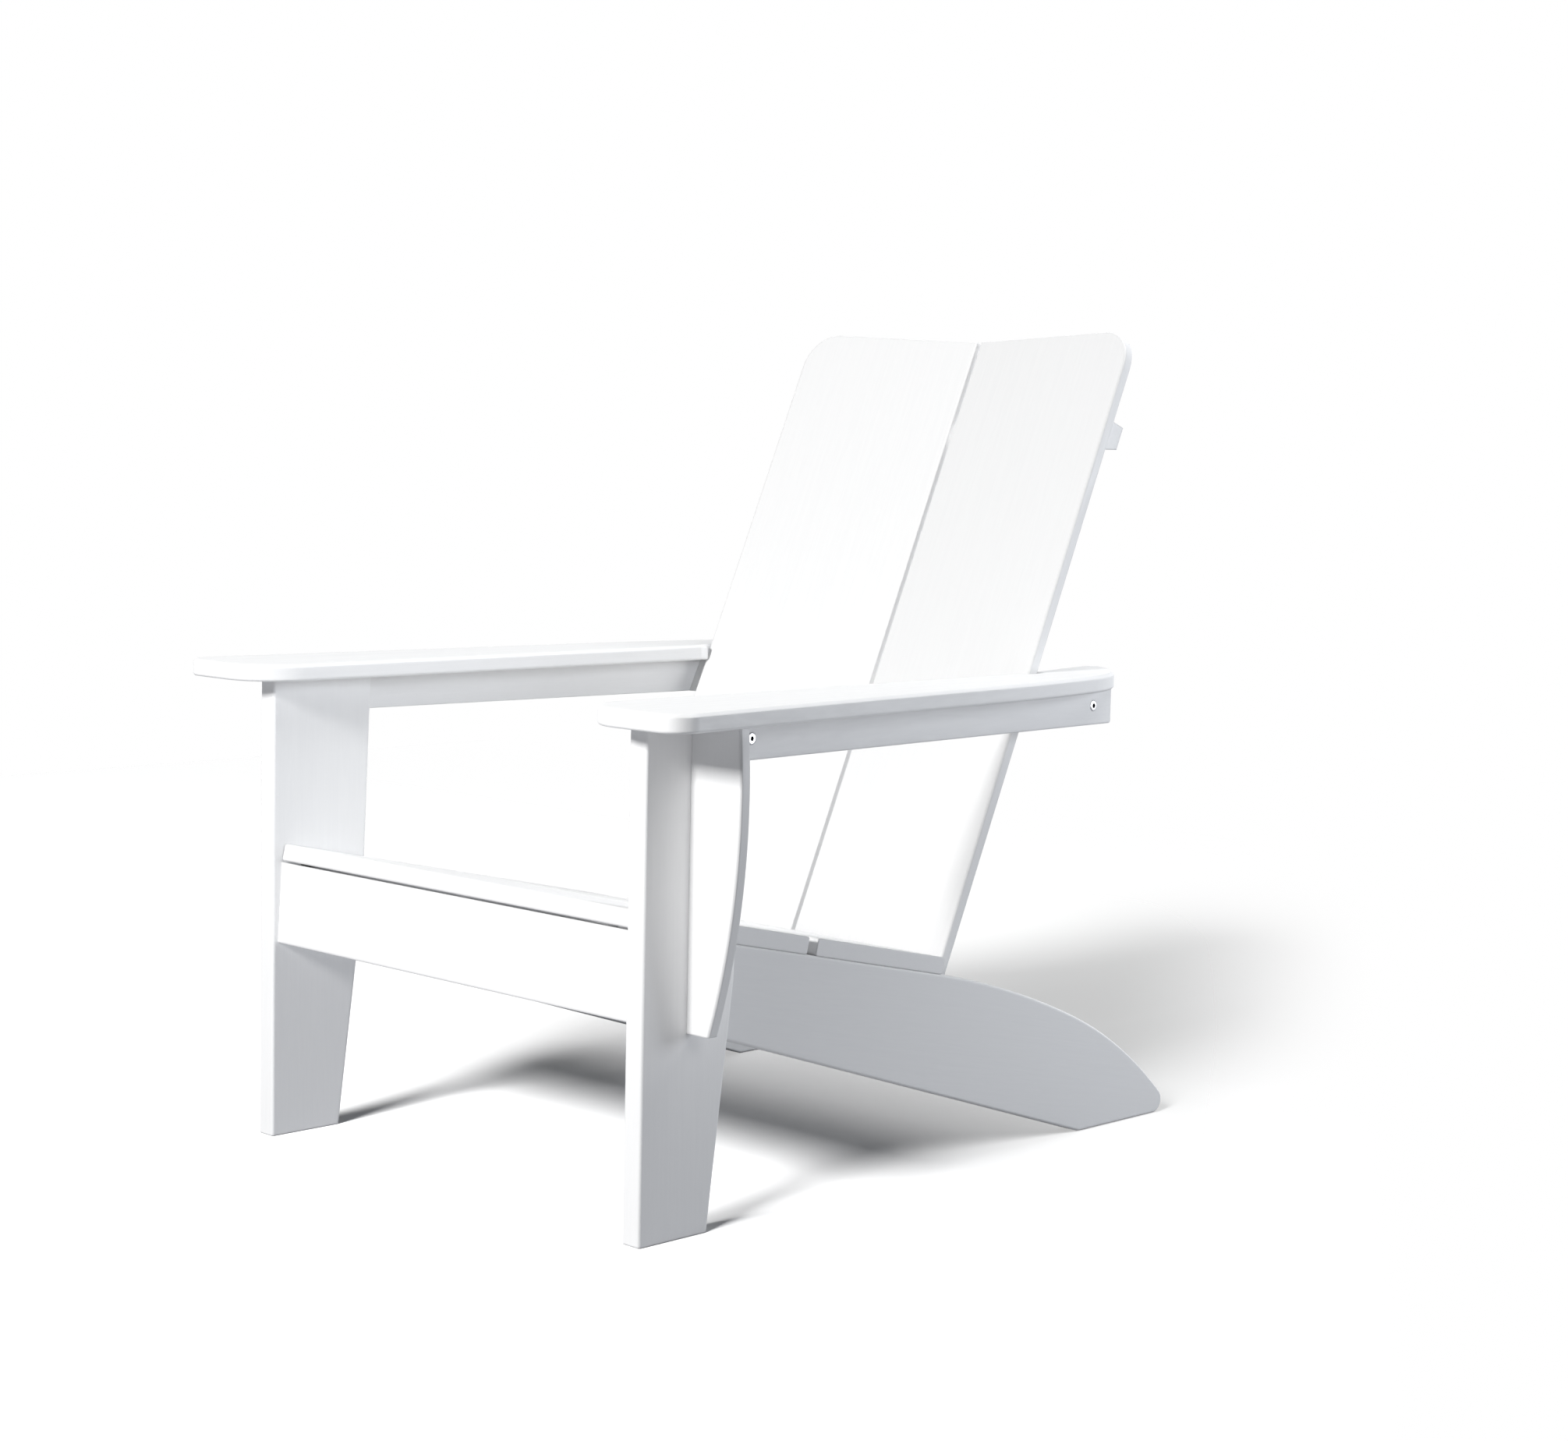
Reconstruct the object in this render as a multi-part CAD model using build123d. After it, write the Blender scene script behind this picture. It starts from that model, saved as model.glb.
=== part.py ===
from build123d import *
import math
import os

# Adirondack garden chair with a two-board back set in a shallow V.
# Millimetres, +Z up.  The chair faces -Y, so the sitter's left hand is at +X.
# Pieces are drawn with y = 0 at the front edge of the front legs, and moved at the end
# so that the origin is on the floor in the middle of the chair's own box.

# ---- driving dimensions --------------------------------------------------------------
frame_board = 25.0        # thickness of legs, side rails, apron
slat_board = 19.0         # thickness of seat planks, arms, arm rails, battens
panel_board = 14.0        # thickness of the back boards and arm brackets
edge_round = 3.0          # rounded edges of the straight boards
edge_ease = 1.8           # flat-eased edges of the boards with a curved outline

half_gap = 295.3          # middle of the chair to the inner face of a front leg
leg_height = 522.4
leg_depth_floor = 94.5    # the leg widens upwards, with a knee under the seat
leg_depth_knee = 127.0
leg_depth_top = 137.0
knee_height = 257.0

apron_bottom = 222.0
apron_joint = 2.2         # open joint between the apron and the front plank
apron_lean = 3.2          # degrees, top towards the back
apron_reveal = 6.5        # how far the apron's lower edge sits behind the leg fronts

seat_slope = 12.2         # degrees, down towards the back
seat_front_y = 15.9
seat_front_z = 335.1
front_plank = 253.0
plank_gap = 14.0
rear_plank = 208.5
plank_play = 1.0          # side play of the planks between the legs

rail_slope = 17.7         # lower edge of the side rail, degrees
rail_crown_y = 473.0      # where the side rail's straight top turns down into the tail
rail_tail = (713.0, 139.0)    # a point on the tail's back curve
foot_length = 144.5       # flat part of the rear foot
tip_radius = 15.0         # rounded tip behind the flat foot
tip_angle = 46.0          # how far up the tip's round goes before the tail starts

arm_front_y = -45.0
arm_tail_y = 815.0
arm_inner_front = (261.0, -43.0)     # the arm's outline, sitter's left arm, seen from above
arm_inner_rear = (258.0, 630.0)
arm_outer_front = (411.0, -43.0)
arm_outer_swell = (383.5, 225.0)
arm_waist = (361.0, 490.0)
arm_hip = (332.0, 690.0)
arm_tail_width = 14.0
arm_tail_x = 236.0
arm_inner_corner = 60.0   # rounding of the arm's two front corners
arm_outer_corner = 28.0
arm_tail_corner = 6.0
arm_top_ease = 3.5        # the arm's upper edges are eased more than its lower ones
notch_depth = 40.0        # the back boards pass through a notch in each arm
notch_play = 1.5
arm_rail_height = 41.3
arm_rail_toe = 3.6        # degrees, the two arm rails close in towards the back
arm_rail_end = 762.0

bracket_y = 60.5
bracket_bottom = 209.0
bracket_foot = 31.0       # width at the bottom
bracket_head = 68.0       # width at the top
bracket_swell = 24.0      # above its mid-height, where the curve reaches its full width

back_lean = 23.8          # degrees from upright
back_splay = 6.3          # degrees, each board's outer edge comes forward
back_y = 592.6            # where the V's valley line passes at back_z
back_z = 339.5
board_gap = 6.0
board_outer = 264.0       # valley line to a board's outer edge, along the board
board_top = 644.6         # above back_z, along the board
board_foot = -218.0
board_corner = 45.0

batten_low = 496.0        # upper batten, along the board from back_z
batten_high = 533.0
batten_half = 240.0
batten_level = 5.6        # its level lower edge, above its lowest point at the boards' fronts

cross_rail_back_y = 742.0

cleat_low = 140.0
cleat_high = 182.0
cleat_back_y = 556.0
saw_margin = 60.0         # how far the V saw cuts run past the boards' own outline
saw_reach = 150.0         # and how far forward of the boards
saw_allowance = 5.0       # wood left on a cross piece for the V cut to take off

leg_screw_spots = ((46.0, 284.0), (46.0, 238.0), (104.0, 252.0))     # (y, z)
leg_screw_length = 42.0
batten_screw_x = (70.0, 190.0)
batten_screw_lift = 3.0   # above the middle of the batten
batten_screw_length = 27.0
arm_screw_ys = (230.0, 400.0, 570.0)
arm_tail_screw = (250.0, 713.0)
arm_screw_sink = 24.0     # from the arm's underside down to these screws' heads
arm_screw_length = 36.0
cleat_screw_length = 34.0
cross_rail_screw_length = 60.0
board_screw_bite = 8.0    # how far these screws reach into a back board
board_screw_x = (60.0, 200.0)

peg_sides = 10            # flats on the hidden dowels and shanks
dowel = 8.0
dowel_length = 38.0
dowel_deep = 26.0         # in the piece it runs along; the rest stands in the other one
apron_dowel_heights = (24.0, 68.0)   # above the apron's lower edge
bracket_dowel_zs = (290.0, 440.0)
arm_dowel_ys = (34.0, 100.0)
cleat_dowel_ys = (520.0, 542.0)
front_plank_dowels = (66.0, 200.0)   # down the slope from the plank's front edge
rear_plank_dowels = (45.0, 160.0)
screw_shank = 5.0
screw_head = 10.0
screw_head_height = 3.0
bolt_ys = (128.6, 725.5)
bolt_lift = 1.5           # above the middle of the arm rail
bolt_length = 36.0
bolt_shank = 6.0
bolt_head = 12.0
bolt_head_height = 3.0
bolt_socket = 4.6         # across the corners of the hexagon socket
bolt_socket_depth = 2.2
bolt_proud = 1.0          # part of a bolt's head that stands out of the wood
hole_ease = 0.1           # a hole's radius over that of the peg or screw in it
bore_ease = 0.5           # the same for the deep access holes

# ---- derived -------------------------------------------------------------------------
leg_out = half_gap + frame_board
rail_in = half_gap - frame_board
toe_tan = math.tan(math.radians(arm_rail_toe))
arm_rail_bottom = leg_height - arm_rail_height
cross_rail_middle = leg_height - arm_rail_height / 2
cleat_middle = (cleat_low + cleat_high) / 2
seat_tan = math.tan(math.radians(seat_slope))
back_tan = math.tan(math.radians(back_lean))
splay_tan = math.tan(math.radians(back_splay))
seat_half = half_gap - plank_play
rear_plank_start = front_plank + plank_gap

apron_back_y = apron_reveal + frame_board
foot_front_y = apron_back_y + apron_bottom / math.tan(math.radians(rail_slope))
foot_back_y = foot_front_y + foot_length
chair_back_y = foot_back_y + tip_radius
centre_y = (arm_front_y + chair_back_y) / 2

seat_plane = Plane(
    origin=(0, seat_front_y, seat_front_z),
    x_dir=(1, 0, 0),
    z_dir=(0, math.sin(math.radians(seat_slope)), math.cos(math.radians(seat_slope))),
)


def side_plane(x):
    """Plane with its own x along +Y and its own y along +Z, facing +X."""
    return Plane(origin=(x, 0, 0), x_dir=(0, 1, 0), z_dir=(1, 0, 0))


def back_plane(side):
    """Front face of one back board: x outwards along the board, y up along it."""
    lean = math.radians(back_lean)
    splay = math.radians(back_splay)
    front = Vector(0, -math.cos(lean), math.sin(lean))
    out = Vector(side * math.cos(splay), 0, 0) + front * math.sin(splay)
    up = Vector(0, math.sin(lean), math.cos(lean))
    return Plane(origin=(0, back_y, back_z), x_dir=out, z_dir=out.cross(up))


def block(plane, x_span, y_span, z_span):
    """Box given by its spans in a plane's own axes."""
    sizes = [span[1] - span[0] for span in (x_span, y_span, z_span)]
    middle = [(span[1] + span[0]) / 2 for span in (x_span, y_span, z_span)]
    return plane * Pos(*middle) * Box(*sizes)


def under_seat_z(y):
    """Height of the seat planks' underside."""
    drop = slat_board / math.cos(math.radians(seat_slope))
    return seat_front_z - drop - (y - seat_front_y) * seat_tan


def apron_line(y_at_bottom, drop):
    """Where a line that leans as the apron does meets the plank's underside, less a drop."""
    lean = math.tan(math.radians(apron_lean))
    rise = under_seat_z(0) - drop - apron_bottom
    y = (y_at_bottom + lean * rise) / (1 + lean * seat_tan)
    return y, under_seat_z(y) - drop


def board_rear_y(x, z):
    """Rear face of the back boards, measured along Y."""
    depth = panel_board / math.cos(math.radians(back_splay))
    forward = (abs(x) * splay_tan - depth) / math.cos(math.radians(back_lean))
    return back_y + (z - back_z) * back_tan - forward


def arm_rail_outer(y):
    """Outer face of an arm rail, sideways from the middle of the chair."""
    return leg_out + slat_board - (y - bracket_y - panel_board) * toe_tan


def arm_rail_inner(y):
    return arm_rail_outer(y) - slat_board / math.cos(math.radians(arm_rail_toe))


def ease_outline(part, axis):
    """Ease the outline edges of the two broad faces square to an axis."""
    faces = part.faces().filter_by(axis).sort_by(axis)
    return chamfer(faces[0].edges() + faces[-1].edges(), edge_ease)


# ---- frame ---------------------------------------------------------------------------
def make_front_leg():
    outline = Polyline(
        (0, 0),
        (leg_depth_floor, 0),
        (leg_depth_knee, knee_height),
        (leg_depth_top, leg_height),
        (0, leg_height),
        close=True,
    )
    leg = extrude(side_plane(half_gap) * make_face(outline), frame_board)
    upright = [edge for edge in leg.edges() if edge.bounding_box().size.Z > edge_round * 4]
    return fillet(upright, edge_round)


def make_side_rail():
    """Rear leg and seat bearer in one: a sloping plank that ends in a rounded foot."""
    front_top = apron_line(apron_back_y, 0)
    crown = (rail_crown_y, under_seat_z(rail_crown_y))
    lower = Polyline(front_top, (apron_back_y, apron_bottom), (foot_front_y, 0), (foot_back_y, 0))
    tip = CenterArc((foot_back_y, tip_radius), tip_radius, tip_angle, -90 - tip_angle)
    upper_tail = TangentArc(crown, rail_tail, tangent=(1, -seat_tan))
    lower_tail = TangentArc(rail_tail, tip @ 0, tangent=upper_tail % 1)
    top = Line(crown, front_top)
    face = make_face([lower, tip, lower_tail, upper_tail, top])
    rail = extrude(side_plane(rail_in) * face, frame_board)
    return ease_outline(rail, Axis.X)


def make_apron():
    outline = Polyline(
        (apron_reveal, apron_bottom),
        (apron_back_y, apron_bottom),
        apron_line(apron_back_y, apron_joint),
        apron_line(apron_reveal, apron_joint),
        close=True,
    )
    apron = extrude(side_plane(-half_gap) * make_face(outline), half_gap * 2)
    long_edges = [e for e in apron.edges() if e.bounding_box().size.X > half_gap]
    front_bottom = ShapeList(long_edges).sort_by(Axis.Y)[0]
    return fillet(front_bottom, edge_round)


def make_seat_plank(start, width):
    plank = block(seat_plane, (-seat_half, seat_half), (start, start + width), (-slat_board, 0))
    return fillet(plank.edges().filter_by(Axis.X), edge_round)


# ---- arms ----------------------------------------------------------------------------
def make_arm():
    """Broad arm: gently curved outside, swept round to a short tail behind the back."""
    front_middle = ((arm_inner_front[0] + arm_outer_front[0]) / 2, arm_front_y)
    tail_out = (arm_tail_x, arm_tail_y)
    tail_in = (arm_tail_x - arm_tail_width, arm_tail_y - arm_tail_width)
    front = ThreePointArc(arm_inner_front, front_middle, arm_outer_front)
    long_side = ThreePointArc(arm_outer_front, arm_outer_swell, arm_waist)
    rear_side = TangentArc(arm_waist, arm_hip, tangent=long_side % 1)
    tail_side = TangentArc(arm_hip, tail_out, tangent=rear_side % 1)
    rest = Polyline(tail_out, tail_in, arm_inner_rear, arm_inner_front)
    outline = [front, long_side, rear_side, tail_side, rest]
    arm = extrude(Pos(0, 0, leg_height) * make_face(outline), slat_board)
    front_corners = arm.edges().filter_by(Axis.Z).sort_by(Axis.Y)[0:2].sort_by(Axis.X)
    arm = fillet(front_corners[0], arm_inner_corner)
    front_corners = arm.edges().filter_by(Axis.Z).sort_by(Axis.X)
    arm = fillet(front_corners[-1], arm_outer_corner)
    arm = fillet(arm.edges().filter_by(Axis.Z).sort_by(Axis.Y)[-2:], arm_tail_corner)
    arm = arm - back_notch()
    arm = chamfer(arm.faces().sort_by(Axis.Z)[-1].edges(), arm_top_ease)
    return chamfer(arm.faces().sort_by(Axis.Z)[0].edges(), edge_ease)


def back_notch():
    """Square notch in an arm's inner edge that lets the back board through."""
    arm_top = leg_height + slat_board
    front_face_gap = panel_board / math.cos(math.radians(back_lean))
    front = board_rear_y(board_outer, leg_height) - front_face_gap - notch_play
    back = board_rear_y(board_outer - notch_depth, arm_top) + notch_play
    outer = board_outer + notch_play
    return block(Plane.XY, (outer - 2 * notch_depth, outer), (front, back), (leg_height, arm_top))


def make_arm_bracket():
    """Shaped wing under the arm, fixed edge-on to the leg's outer face."""
    plane = Plane(origin=(0, bracket_y, 0), x_dir=(1, 0, 0), z_dir=(0, -1, 0))
    foot = (leg_out + bracket_foot, bracket_bottom)
    head = (leg_out + bracket_head, leg_height)
    belly = (head[0], (leg_height + bracket_bottom) / 2 + bracket_swell)
    sweep = ThreePointArc(foot, belly, head)
    rest = Polyline(head, (leg_out, leg_height), (leg_out, bracket_bottom), foot)
    bracket = extrude(plane * make_face([sweep, rest]), -panel_board)
    return chamfer(bracket.edges().filter_by(GeomType.CIRCLE), edge_ease)


def make_arm_rail():
    """Rail under the arm, closing in towards the back and housed round the leg's rear edge."""
    toe = math.radians(arm_rail_toe)
    start = bracket_y + panel_board
    end = (arm_rail_outer(arm_rail_end), arm_rail_end)
    plan = Polyline(
        (arm_rail_outer(start), start),
        end,
        (end[0] - slat_board * math.cos(toe), end[1] - slat_board * math.sin(toe)),
        (arm_rail_inner(leg_depth_top), leg_depth_top),
        (leg_out, leg_depth_top),
        (leg_out, start),
        close=True,
    )
    rail = extrude(Pos(0, 0, arm_rail_bottom) * make_face(plan), arm_rail_height)
    low_rear = max(rail.edges(), key=lambda e: e.center().Y - e.center().Z)
    rail = fillet(low_rear, edge_round)
    outer_face = rail.faces().sort_by(SortBy.AREA)[-2:].sort_by(Axis.X)[-1]
    open_edges = [
        edge
        for edge in outer_face.edges()
        if edge.center().Z < leg_height - edge_round and edge.center().Y > start + edge_round
    ]
    return chamfer(open_edges, edge_ease / 2)


# ---- back ----------------------------------------------------------------------------
def make_back_board(side):
    board = block(
        back_plane(side),
        (board_gap / 2, board_outer),
        (board_foot, board_top),
        (-panel_board, 0) if side > 0 else (0, panel_board),
    )
    through = [e for e in board.edges() if abs(e.length - panel_board) < 0.01]
    corner = max(through, key=lambda e: e.center().Z + abs(e.center().X) / 2)
    board = fillet(corner, board_corner)
    broad = board.faces().sort_by(SortBy.AREA)[-2:]
    return chamfer(broad[0].edges() + broad[1].edges(), edge_ease)


def in_front_of_rear_face(side):
    """All the space in front of one board's rear face, for cutting a seat that fits it."""
    x_span = (-panel_board * splay_tan, board_outer + saw_margin)
    y_span = (board_foot - saw_margin, board_top)
    z_span = (-panel_board, saw_reach) if side > 0 else (-saw_reach, panel_board)
    return block(back_plane(side), x_span, y_span, z_span)


def make_upper_batten():
    """Batten with both faces sawn to the V, level along its lower rear edge."""
    halves = []
    for side in (-1, 1):
        depth = panel_board + slat_board
        start = -depth * splay_tan
        z_span = (-depth, -panel_board) if side > 0 else (panel_board, depth)
        half = block(back_plane(side), (start, batten_half), (batten_low, batten_high), z_span)
        halves.append(half)
    batten = halves[0] + halves[1]
    level = back_z + batten_low * math.cos(math.radians(back_lean)) + batten_level
    return batten - block(Plane.XY, (-leg_out, leg_out), (0, chair_back_y), (leg_height, level))


def make_cross_rail():
    """Plank between the arm rails; its front edge is sawn to seat both back boards."""
    front = board_rear_y(half_gap, arm_rail_bottom) - saw_allowance
    plan = Polyline(
        (arm_rail_inner(front), front),
        (arm_rail_inner(cross_rail_back_y), cross_rail_back_y),
        (-arm_rail_inner(cross_rail_back_y), cross_rail_back_y),
        (-arm_rail_inner(front), front),
        close=True,
    )
    rail = extrude(Pos(0, 0, arm_rail_bottom) * make_face(plan), arm_rail_height)
    for side in (-1, 1):
        rail -= in_front_of_rear_face(side)
    return rail


def make_lower_cleat():
    """Cleat between the side rails, sawn to the same V, behind the boards' lower ends."""
    front = board_rear_y(rail_in, cleat_low) - saw_allowance
    z_span = (cleat_low, cleat_high)
    cleat = block(Plane.XY, (-rail_in, rail_in), (front, cleat_back_y), z_span)
    for side in (-1, 1):
        cleat -= in_front_of_rear_face(side)
    return cleat


# ---- fasteners -----------------------------------------------------------------------
# Each of these takes an ease: 0 gives the piece itself, more gives the hole it sits in.
def peg(start, direction, length, diameter, ease=0.0):
    """Peg from a start point along a direction; hidden ones are drawn with flat sides."""
    plane = Plane(origin=start, z_dir=direction)
    return extrude(plane * RegularPolygon(diameter / 2 + ease, peg_sides), length)


def round_bar(start, direction, length, diameter, ease=0.0):
    plane = Plane(origin=start, z_dir=direction)
    return extrude(plane * Circle(diameter / 2 + ease), length)


def pan_screw(seat, direction, length, ease=0.0):
    """Pan-headed screw: its head sits on the seat point, its shank points along direction."""
    head = peg(seat, Vector(*direction) * -1, screw_head_height, screw_head, ease)
    return head + peg(seat, direction, length, screw_shank, ease)


def ring_bolt(face_point, direction, length, ease=0.0):
    """Flat-headed connector bolt with a hexagon socket, let into the wood."""
    inwards = Vector(*direction)
    top = Vector(*face_point) - inwards * bolt_proud
    bolt = round_bar(top, direction, bolt_head_height, bolt_head, ease)
    bolt += peg(face_point, direction, length, bolt_shank, ease)
    if ease > 0:
        return bolt
    hexagon = Plane(origin=top, z_dir=direction) * RegularPolygon(bolt_socket / 2, 6)
    return bolt - extrude(hexagon, bolt_socket_depth)


def both_sides(parts):
    """The given parts and their mirror images."""
    return list(parts) + [mirror(part, about=Plane.YZ) for part in parts]


def arm_rail_bolts(ease=0.0):
    height = (arm_rail_bottom + leg_height) / 2 + bolt_lift
    toe = math.radians(arm_rail_toe)
    inwards = (-math.cos(toe), -math.sin(toe), 0)
    points = [(arm_rail_outer(y), y, height) for y in bolt_ys]
    return both_sides([ring_bolt(point, inwards, bolt_length, ease) for point in points])


def leg_screws(ease=0.0):
    seats = [(rail_in, y, z) for y, z in leg_screw_spots]
    return both_sides([pan_screw(seat, (1, 0, 0), leg_screw_length, ease) for seat in seats])


def joint_dowel(joint, direction, ease):
    """Dowel across a joint: its deep end behind the joint point, the rest ahead of it."""
    start = Vector(*joint) - Vector(*direction) * dowel_deep
    return peg(start, direction, dowel_length, dowel, ease)


def apron_dowels(ease=0.0):
    dowels = []
    for height in apron_dowel_heights:
        y = apron_reveal + height * math.tan(math.radians(apron_lean)) + frame_board / 2
        dowels.append(joint_dowel((half_gap, y, apron_bottom + height), (1, 0, 0), ease))
    return both_sides(dowels)


def bracket_dowels(ease=0.0):
    y = bracket_y + panel_board / 2
    joints = [(leg_out, y, z) for z in bracket_dowel_zs]
    return both_sides([joint_dowel(joint, (-1, 0, 0), ease) for joint in joints])


def seat_dowels(ease=0.0):
    dowels = []
    middle = half_gap - frame_board / 2
    along = front_plank_dowels + tuple(rear_plank_start + d for d in rear_plank_dowels)
    for distance in along:
        joint = (seat_plane * Pos(middle, distance, -slat_board)).position
        dowels.append(joint_dowel(joint, seat_plane.z_dir, ease))
    return both_sides(dowels)


def arm_dowels(ease=0.0):
    joints = [(half_gap + frame_board / 2, y, leg_height) for y in arm_dowel_ys]
    return both_sides([joint_dowel(joint, (0, 0, 1), ease) for joint in joints])


def cleat_dowels(ease=0.0):
    joints = [(rail_in, y, cleat_middle) for y in cleat_dowel_ys]
    return both_sides([joint_dowel(joint, (1, 0, 0), ease) for joint in joints])


def arm_screw_spots():
    """Where the screws into the arms start: under their heads, deep in the rails below."""
    seat_z = leg_height - arm_screw_sink
    spots = [((arm_rail_outer(y) + arm_rail_inner(y)) / 2, y, seat_z) for y in arm_screw_ys]
    return spots + [(*arm_tail_screw, seat_z)]


def arm_screws(ease=0.0):
    spots = arm_screw_spots()
    return both_sides([pan_screw(spot, (0, 0, 1), arm_screw_length, ease) for spot in spots])


def arm_screw_bores():
    bores = []
    for x, y, seat_z in arm_screw_spots():
        depth = seat_z - arm_rail_bottom
        bores.append(peg((x, y, seat_z), (0, 0, -1), depth, screw_head, bore_ease))
    return both_sides(bores)


def batten_screws(ease=0.0):
    screws = []
    middle = (batten_low + batten_high) / 2 + batten_screw_lift
    for side in (-1, 1):
        plane = back_plane(side)
        forwards = plane.z_dir * side
        for along in batten_screw_x:
            spot = plane * Pos(along, middle, -side * (panel_board + slat_board))
            screws.append(pan_screw(spot.position, forwards, batten_screw_length, ease))
    return screws


def board_screw_spots(height, length):
    """Seats of the screws that go forwards into the boards through a rail or cleat."""
    reach = length - board_screw_bite
    spots = []
    for x in board_screw_x:
        y = board_rear_y(x, height) + reach
        spots += [(x, y, height), (-x, y, height)]
    return spots


def board_screws(height, length, ease=0.0):
    spots = board_screw_spots(height, length)
    return [pan_screw(spot, (0, -1, 0), length, ease) for spot in spots]


def board_screw_bores(height, length, rear_y):
    bores = []
    for x, y, z in board_screw_spots(height, length):
        bores.append(peg((x, y, z), (0, 1, 0), rear_y - y, screw_head, bore_ease))
    return bores


# ---- assembly ------------------------------------------------------------------------
def cut(part, tools):
    """Take the tools that touch a part out of it."""
    near = part.bounding_box()
    for tool in tools:
        box = tool.bounding_box()
        apart = (
            box.min.X > near.max.X or box.max.X < near.min.X
            or box.min.Y > near.max.Y or box.max.Y < near.min.Y
            or box.min.Z > near.max.Z or box.max.Z < near.min.Z
        )
        if not apart:
            part = part - tool
    return part


def all_fasteners(ease=0.0):
    return {
        "arm_rail_bolts": arm_rail_bolts(ease),
        "leg_screws": leg_screws(ease),
        "apron_dowels": apron_dowels(ease),
        "bracket_dowels": bracket_dowels(ease),
        "seat_dowels": seat_dowels(ease),
        "arm_dowels": arm_dowels(ease),
        "cleat_dowels": cleat_dowels(ease),
        "arm_screws": arm_screws(ease),
        "batten_screws": batten_screws(ease),
        "cross_rail_screws": board_screws(cross_rail_middle, cross_rail_screw_length, ease),
        "cleat_screws": board_screws(cleat_middle, cleat_screw_length, ease),
    }


def all_holes():
    holes = [hole for group in all_fasteners(hole_ease).values() for hole in group]
    holes += arm_screw_bores()
    holes += board_screw_bores(cross_rail_middle, cross_rail_screw_length, cross_rail_back_y)
    holes += board_screw_bores(cleat_middle, cleat_screw_length, cleat_back_y)
    return holes


def make_chair():
    boards = {
        "front_apron": make_apron(),
        "seat_plank_front": make_seat_plank(0, front_plank),
        "seat_plank_rear": make_seat_plank(rear_plank_start, rear_plank),
        "back_board_left": make_back_board(1),
        "back_board_right": make_back_board(-1),
        "upper_back_batten": make_upper_batten(),
        "arm_cross_rail": make_cross_rail(),
        "lower_back_cleat": make_lower_cleat(),
    }
    pairs = {
        "front_leg": make_front_leg(),
        "side_rail": make_side_rail(),
        "arm": make_arm(),
        "arm_bracket": make_arm_bracket(),
        "arm_rail": make_arm_rail(),
    }
    for name, part in pairs.items():
        boards[name + "_left"] = part
        boards[name + "_right"] = mirror(part, about=Plane.YZ)
    holes = all_holes()
    chair = {name: cut(part, holes).solids() for name, part in boards.items()}
    for name, group in all_fasteners().items():
        chair[name] = [solid for piece in group for solid in piece.solids()]
    return chair


os.makedirs("parts", exist_ok=True)
to_origin = Pos(0, -centre_y, 0)
for node, solids in make_chair().items():
    placed = Compound([to_origin * solid for solid in solids])
    export_step(placed, os.path.join("parts", node + ".step"))
print("origin is", round(centre_y, 2), "mm behind the front of the legs")
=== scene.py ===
"""Looks of a white-painted Adirondack chair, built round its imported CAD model.

Metres, in the model's own frame: +Z up, the chair faces -Y, the origin is on the floor
under the middle of the chair.
"""
import math

import bmesh
import bpy
import numpy as np
from mathutils import Matrix, Vector


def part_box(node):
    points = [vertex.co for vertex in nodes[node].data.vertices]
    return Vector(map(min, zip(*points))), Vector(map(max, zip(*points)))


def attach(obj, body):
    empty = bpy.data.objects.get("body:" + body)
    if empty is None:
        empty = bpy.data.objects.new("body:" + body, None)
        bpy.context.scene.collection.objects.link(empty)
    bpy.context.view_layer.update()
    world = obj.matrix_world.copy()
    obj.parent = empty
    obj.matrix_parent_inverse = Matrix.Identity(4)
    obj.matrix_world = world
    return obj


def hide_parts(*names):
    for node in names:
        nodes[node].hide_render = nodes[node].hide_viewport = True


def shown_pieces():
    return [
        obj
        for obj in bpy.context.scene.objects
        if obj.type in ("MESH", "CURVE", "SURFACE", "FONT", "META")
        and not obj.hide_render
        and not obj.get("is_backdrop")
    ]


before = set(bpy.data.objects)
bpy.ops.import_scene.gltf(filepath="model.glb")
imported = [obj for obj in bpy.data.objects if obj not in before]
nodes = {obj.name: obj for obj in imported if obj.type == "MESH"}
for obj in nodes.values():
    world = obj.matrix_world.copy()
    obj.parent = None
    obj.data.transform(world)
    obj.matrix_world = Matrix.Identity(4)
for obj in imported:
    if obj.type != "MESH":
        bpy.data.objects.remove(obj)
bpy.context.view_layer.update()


# ---- small helpers for shader trees -----------------------------------------------------
def add_node(tree, kind, place=(0, 0), **settings):
    node = tree.nodes.new(kind)
    node.location = place
    for name, value in settings.items():
        setattr(node, name, value)
    return node


def connect(tree, source, target):
    tree.links.new(source, target)


def new_group(name, inputs, outputs):
    """Shader node group with its own sockets; returns the tree and its two end nodes."""
    tree = bpy.data.node_groups.new(name, "ShaderNodeTree")
    for label, kind, default in inputs:
        socket = tree.interface.new_socket(label, in_out="INPUT", socket_type=kind)
        if default is not None:
            socket.default_value = default
    for label, kind in outputs:
        tree.interface.new_socket(label, in_out="OUTPUT", socket_type=kind)
    start = add_node(tree, "NodeGroupInput", (-900, 0))
    end = add_node(tree, "NodeGroupOutput", (900, 0))
    return tree, start, end


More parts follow.
